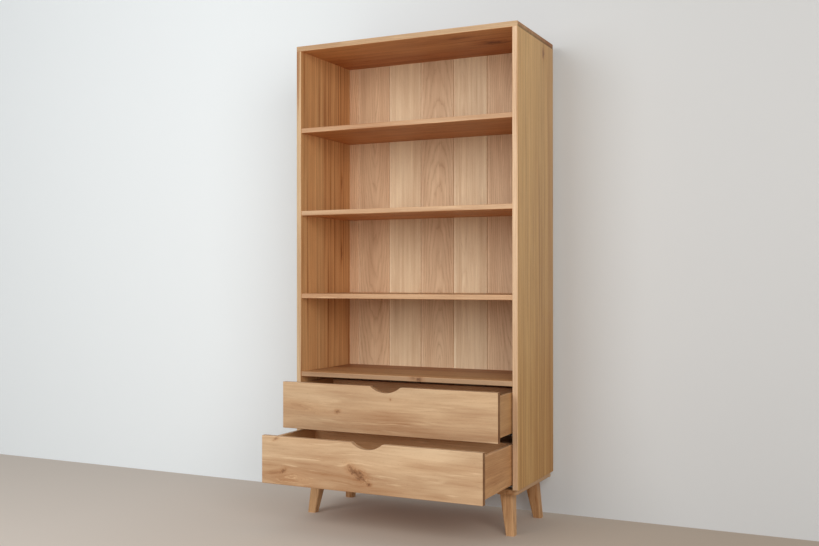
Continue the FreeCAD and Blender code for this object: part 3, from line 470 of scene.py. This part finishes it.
# How each kind of board was sawn, and its colours.
# On the right side, Drift darkens it towards the floor and lightens it towards the top: painted light
# falling from above. The left side and the legs set it to none.
SIDE_OAK = {"Stave": 0.058, "Stave Tone": 0.36, "Ring Gap": 0.0034, "Pith Side": 0.25,
            "Pith Depth": 0.10, "Run-out": 0.004, "Wave": 0.006, "Streak": 0.5, "Line": 0.45,
            "Figure": 0.1, "Cloud": 0.4, "Drift": -0.2, "Blush": 0.4, "Ring": 0.22,
            "Pale": colour(220, 179, 118), "Deep": colour(160, 110, 56)}
LEFT_OAK = {**SIDE_OAK, "Stave Tone": 0.26, "Streak": 0.65, "Line": 0.75, "Drift": 0.0,
            "Blush": 1.0, "Pale": colour(230, 185, 130), "Deep": colour(166, 110, 63)}
LEG_OAK = {**SIDE_OAK, "Stave": 1.0, "Drift": 0.0, "Pith Side": 0.06,
           "Pale": colour(212, 170, 124), "Deep": colour(156, 108, 67)}
TOP_OAK = {"Stave": 0.11, "Stave Tone": 0.3, "Ring Gap": 0.005, "Pith Side": 0.02,
           "Pith Depth": 0.05, "Run-out": 0.02, "Wave": 0.012, "Streak": 0.4, "Line": 0.25,
           "Figure": 0.35, "Cloud": 0.5, "Ring": 0.3,
           "Pale": colour(212, 172, 128), "Deep": colour(158, 106, 66)}
SHELF_OAK = {**TOP_OAK, "Stave": 0.09, "Stave Tone": 0.26}
# The deck's fall darkens it towards the back: painted light on its front, painted shade further in.
DECK_OAK = {**SHELF_OAK, "Stave Tone": 0.55, "Fall": 1.5,
            "Pale": colour(190, 146, 100), "Deep": colour(143, 93, 54)}
FLAT_BACK = {"Stave": 1.0, "Stave Tone": 0.0, "Ring Gap": 0.008, "Pith Side": 0.0,
             "Pith Depth": 0.034, "Run-out": 0.08, "Wave": 0.018, "Streak": 0.2, "Line": 0.0,
             "Figure": 0.3, "Cloud": 0.6, "Blush": 0.45, "Ring": 0.52,
             "Pale": colour(233, 202, 165), "Deep": colour(183, 143, 109)}
UPTURNED_BACK = {**FLAT_BACK, "Run-out": -0.08}
RIFT_BACK = {**FLAT_BACK, "Ring Gap": 0.005, "Pith Side": 0.09, "Run-out": 0.01, "Ring": 0.25,
             "Streak": 0.4, "Line": 0.1, "Pale": colour(231, 210, 176),
             "Deep": colour(186, 151, 117)}
# Fall makes each drawer front lighter at the top and darker at the bottom: painted light falling from
# above.
FRONT_OAK = {"Stave": 1.0, "Stave Tone": 0.0, "Ring Gap": 0.012, "Pith Side": 0.03,
             "Pith Depth": 0.05, "Run-out": 0.02, "Wave": 0.012, "Streak": 0.1, "Line": 0.0,
             "Figure": 0.6, "Cloud": 1.3, "Fall": -2.2, "Ring": 0.12,
             "Pale": colour(214, 186, 151), "Deep": colour(164, 124, 88)}
UPPER_FRONT_OAK = {**FRONT_OAK, "Fall": -1.5,
                   "Pale": colour(206, 178, 143), "Deep": colour(158, 118, 83)}
BOX_OAK = {**SHELF_OAK, "Stave": 1.0, "Cloud": 0.2, "Ring": 0.15, "Streak": 0.25, "Line": 0.0,
           "Figure": 0.5, "Pale": colour(212, 168, 120), "Deep": colour(160, 110, 68)}
UPPER_BOX_OAK = {**BOX_OAK, "Pale": colour(198, 153, 104), "Deep": colour(149, 98, 57)}
# Paler than the box sides: painted light on the drawer backs inside the boxes.
BOX_BACK_OAK = {**BOX_OAK, "Pale": colour(240, 198, 148), "Deep": colour(196, 142, 96)}


def toned(wood, share, fall=0.0):
    """The same wood, its two tones scaled by that share and darker across it by that fall."""
    tones = {tone: (*(level * share for level in wood[tone][:3]), 1.0) for tone in ("Pale", "Deep")}
    return {**wood, **tones, "Fall": fall}


# ------------------------------------------------------------------ carcass

oak_board("left_side", "Z", "Y", LEFT_OAK, 303, edge=(0.89, 1.12, 1.55),
          knots=[(1.303, 0.2507, -0.43, 0.005, 6.0, 0.0, 0.9),
                 (1.012, 0.2493, -0.43, 0.006, 6.0, 0.0, 0.9)])
oak_board("right_side", "Z", "Y", SIDE_OAK, 1443, edge=(1.03, 1.19, 2.0),
          knots=[(1.7422, 0.2187, 0.45, 0.009, 1.4, 0.0, 1.0)])
# The top's underside is tinted darker and redder: painted shade. Its fall darkens it towards the back:
# painted shade deeper under it, lighter at the front.
oak_board("top_panel", "X", "Y", toned(TOP_OAK, 1.0, 1.3), 2,
          edge=(0.84, 0.96, 1.1), ends=(1.2, 1.33, 1.55), underside_light_and_shade=(1.02, 0.8, 0.6), dark_end_band_height=0.008,
          knots=[(0.290, 0.127, 1.78, 0.022, 1.9, 0.0, 1.0),
                 (0.194, 0.010, 1.78, 0.014, 2.4, 0.0, 0.5)])
# Their undersides are tinted darker and redder: painted shade under the shelves and bottom panel.
for seed, node in enumerate(("shelf_upper", "shelf_middle", "shelf_lower", "bottom_panel"), 21):
    oak_board(node, "X", "Y", SHELF_OAK, seed, underside_light_and_shade=(0.96, 0.73, 0.53))
# The deck's underside is tinted lighter: painted light in the drawer opening beneath it.
oak_board("drawer_deck", "X", "Y", DECK_OAK, 31, edge=(0.9, 1.07, 1.46), underside_light_and_shade=(1.3, 1.15, 1.0),
          knots=[(0.0705, -0.062, 0.5385, 0.008, 1.3, 0.0, 1.0),
                 (0.046, -0.062, 0.543, 0.006, 1.5, 0.0, 0.5)])

# The back boards from left to right, each with its wood and its seed. Their V-grooves are tinted
# darker as painted shade, more faintly on the first two boards, and a pale strip beside each groove
# is a painted highlight.
BACK = ((toned(FLAT_BACK, 1.16), 41), (toned(UPTURNED_BACK, 1.0, 1.5), 376),
        (toned(RIFT_BACK, 1.03, 2.2), 43), (toned(FLAT_BACK, 0.9), 127),
        (toned(RIFT_BACK, 1.08), 45), (UPTURNED_BACK, 174), (RIFT_BACK, 47))
# Painted shade in the V-grooves of the back boards, fainter on the first two boards.
FIRST_GROOVE_SHADE = (0.9, 0.85, 0.8)
GROOVE_SHADE = (0.8, 0.75, 0.7)
# A painted highlight: the pale strip beside each groove of the back boards.
JOINT_HIGHLIGHT = (1.21, 1.29, 1.38)
JOINT_HIGHLIGHT_WIDTH = 0.014
for number, (wood, seed) in enumerate(BACK, 1):
    oak_board(f"back_board_{number}", "Z", "X", wood, seed,
              edge=FIRST_GROOVE_SHADE if number < 3 else GROOVE_SHADE,
              wear_and_highlight_width=JOINT_HIGHLIGHT_WIDTH, wear_and_highlight=JOINT_HIGHLIGHT)


# --------------------------------------------------------------------- base

for side, front_seed, rear_seed in (("left", 112, 98), ("right", 63, 110)):
    oak_board(f"base_rail_{side}", "Y", "X", LEG_OAK, 51)
    for end, seed in (("front", front_seed), ("rear", rear_seed)):
        oak_board(f"leg_{end}_{side}", "Z", "X", LEG_OAK, seed, edge=PLAIN)


# ------------------------------------------------------------------ drawers

FRONT_TINTS = {"edge": (0.8, 0.74, 0.7), "ends": (0.62, 0.52, 0.42)}
oak_board("upper_drawer_front", "X", "Z", UPPER_FRONT_OAK, 61, **FRONT_TINTS,
          knots=[(-0.1945, 0.4227, -0.197, 0.006, 1.6, 0.2, 0.8),
                 (0.0224, 0.478, -0.197, 0.003, 0.9, 0.0, 0.8),
                 (-0.345, 0.432, -0.197, 0.010, 8.0, -0.12, 0.15)])
oak_board("lower_drawer_front", "X", "Z", FRONT_OAK, 66, **FRONT_TINTS,
          knots=[(-0.053, 0.2425, -0.335, 0.012, 1.7, -0.6, 1.0),
                 (-0.026, 0.2265, -0.335, 0.014, 1.6, -0.5, 0.9),
                 (0.0102, 0.2018, -0.335, 0.005, 1.5, 0.0, 1.0),
                 (-0.3375, 0.2203, -0.335, 0.006, 2.2, 0.5, 0.9),
                 (-0.375, 0.2110, -0.335, 0.005, 7.0, 0.15, 0.4),
                 (-0.30, 0.195, -0.335, 0.014, 4.0, 0.0, 0.0),
                 (-0.3669, 0.3328, -0.335, 0.0035, 3.0, 0.5, 0.6)])
for drawer, seed, wood in (("upper", 71, UPPER_BOX_OAK), ("lower", 81, BOX_OAK)):
    oak_board(f"{drawer}_drawer_left_side", "Y", "Z", wood, seed)
    oak_board(f"{drawer}_drawer_right_side", "Y", "Z", wood, seed + 1)
    oak_board(f"{drawer}_drawer_back", "X", "Z", BOX_BACK_OAK, seed + 2)
    oak_board(f"{drawer}_drawer_bottom", "X", "Y", BOX_OAK, seed + 3)

DRAWERS = ("upper", "lower")
RUNNERS = [f"{drawer}_runner_{side}_{member}" for drawer in DRAWERS
           for side in ("left", "right") for member in ("fixed", "middle", "drawer")]
GLIDES = [f"{drawer}_runner_glides" for drawer in DRAWERS]
SCREWS = ["leg_bolts", "back_screws"] + [f"{drawer}_{part}_screws" for drawer in DRAWERS
                                         for part in ("runner", "drawer")]
DOWELS = ["carcass_dowels"] + [f"{drawer}_drawer_dowels" for drawer in DRAWERS]
plain_finish("runner_steel", RUNNERS, pale=colour(206, 208, 210), deep=colour(158, 160, 163),
             stretch=(700.0, 9.0, 700.0), metallic=1.0, rough=0.36, relief=0.00005)
plain_finish("screw_steel", SCREWS, pale=colour(200, 198, 190), deep=colour(140, 138, 132),
             stretch=(160.0, 160.0, 160.0), metallic=1.0, rough=0.3, relief=0.00005)
plain_finish("glide_plastic", GLIDES, pale=colour(226, 224, 216), deep=colour(204, 201, 190),
             stretch=(90.0, 90.0, 90.0), metallic=0.0, rough=0.42, relief=0.00003)
plain_finish("beech", DOWELS, pale=colour(222, 184, 140), deep=colour(190, 148, 104),
             stretch=(260.0, 260.0, 260.0), metallic=0.0, rough=0.6, relief=0.00015)


# -------------------------------------------------------------------- studio

WALL_Y = 0.37
WALL_HEIGHT = 6
STAGE_REACH = 9
STAGE_CLOUDS = ((1.2, 1.2, 1.2), 2.0)
STAGE_UNEVENNESS = 0.06

# Painted light: the stage is lighter on the left and darker on the right, as if lit from the left.
# This is how far to the left and right of the middle it changes.
PAINTED_LIGHT_REACH = 1.3

# How much light comes from all round.
AIR_LIGHT = 0.42


def sheet(name, corners, material):
    """A flat stage piece that faces the side from which its corners run anticlockwise."""
    mesh = bpy.data.meshes.new(name)
    mesh.from_pydata(corners, [], [range(len(corners))])
    mesh.materials.append(material)
    piece = bpy.data.objects.new(name, mesh)
    scene.collection.objects.link(piece)


def stage_finish(name, lit_left, shaded_right, only_seen):
    """A matt surface, clear to the eye from behind. If only seen, all light passes through it."""
    material, graph = new_finish(name)
    graph.tree.nodes.clear()
    place = graph.node("ShaderNodeTexCoord").outputs["Object"]
    rightwards = graph.fade(graph.split(place)[0], -PAINTED_LIGHT_REACH, PAINTED_LIGHT_REACH)
    cloud = graph.swing(graph.noise(place, *STAGE_CLOUDS), STAGE_UNEVENNESS)
    # Painted light: lighter on the left, darker on the right, with random clouds.
    tint = graph.mix(graph.total(rightwards, cloud), lit_left, shaded_right)
    matt = graph.node("ShaderNodeBsdfDiffuse", {"Color": tint}).outputs[0]
    clear = graph.node("ShaderNodeBsdfTransparent").outputs[0]
    path = graph.node("ShaderNodeLightPath").outputs
    behind = graph.node("ShaderNodeNewGeometry").outputs["Backfacing"]
    if only_seen:
        unseen = graph.calc("SUBTRACT", 1.0, path["Is Camera Ray"])
        hidden = graph.calc("MAXIMUM", unseen, behind)
    else:
        hidden = graph.calc("MULTIPLY", path["Is Camera Ray"], behind)
    mixed = graph.node("ShaderNodeMixShader", (hidden, matt, clear)).outputs[0]
    graph.node("ShaderNodeOutputMaterial", (mixed,))
    return material


# The floor and the wall are painted lighter on the left than on the right: painted light.
sheet("floor", [(-STAGE_REACH, -STAGE_REACH, 0), (STAGE_REACH, -STAGE_REACH, 0),
                (STAGE_REACH, STAGE_REACH, 0), (-STAGE_REACH, STAGE_REACH, 0)],
      stage_finish("pale_floor", colour(227, 217, 206), colour(192, 177, 161), only_seen=False))
sheet("wall", [(-STAGE_REACH, WALL_Y, 0), (STAGE_REACH, WALL_Y, 0),
               (STAGE_REACH, WALL_Y, WALL_HEIGHT), (-STAGE_REACH, WALL_Y, WALL_HEIGHT)],
      stage_finish("pale_wall", colour(241, 247, 250), colour(205, 206, 206), only_seen=True))


def lamp(name, place, target, size, power, tint):
    """A square soft box that looks at its target."""
    light = bpy.data.lights.new(name, "AREA")
    light.size = size
    light.energy = power
    light.color = tint[:3]
    stand = bpy.data.objects.new(name, light)
    scene.collection.objects.link(stand)
    look = Vector(target) - Vector(place)
    stand.matrix_world = Matrix.Translation(place) @ look.to_track_quat("-Z", "Y").to_matrix().to_4x4()
    stand.visible_camera = False


lamp("left_light", place=(-1.3, -4.2, 2.3), target=(0, 0, 1.0), size=2.6, power=86,
     tint=colour(255, 255, 255))
lamp("right_light", place=(2.7, -3.2, 1.8), target=(0.1, 0, 0.9), size=2.4, power=74,
     tint=colour(255, 254, 252))

world = bpy.data.worlds.new("studio")
scene.world = world
world.use_nodes = True
air = Graph(world.node_tree)
air.tree.nodes.clear()
path = air.node("ShaderNodeLightPath").outputs
seen = air.calc("MAXIMUM", path["Is Camera Ray"],
                air.calc("MAXIMUM", path["Is Glossy Ray"], path["Is Transmission Ray"]))
ambient = air.node("ShaderNodeBackground", {"Color": colour(253, 254, 255), "Strength": AIR_LIGHT})
backdrop = air.node("ShaderNodeBackground", {"Color": colour(240, 240, 239), "Strength": 1.0})
shown = air.node("ShaderNodeMixShader", (seen, ambient.outputs[0], backdrop.outputs[0]))
air.node("ShaderNodeOutputWorld", (shown.outputs[0],))


# -------------------------------------------------------------------- camera

EYE = (1.6092, -3.3180, 0.9044)
TURN_LEFT = math.radians(25.981)
TILT_UP = math.radians(0.065)
ROLL = math.radians(-0.035)

camera = bpy.data.cameras.new("camera")
camera.sensor_width = 36.0
camera.lens = 43.581
camera.shift_x = 0.00298
camera.shift_y = 0.00571
viewer = bpy.data.objects.new("camera", camera)
scene.collection.objects.link(viewer)
viewer.matrix_world = (Matrix.Translation(EYE)
                       @ Matrix.Rotation(TURN_LEFT, 4, "Z")
                       @ Matrix.Rotation(math.pi / 2 + TILT_UP, 4, "X")
                       @ Matrix.Rotation(ROLL, 4, "Z"))
scene.camera = viewer
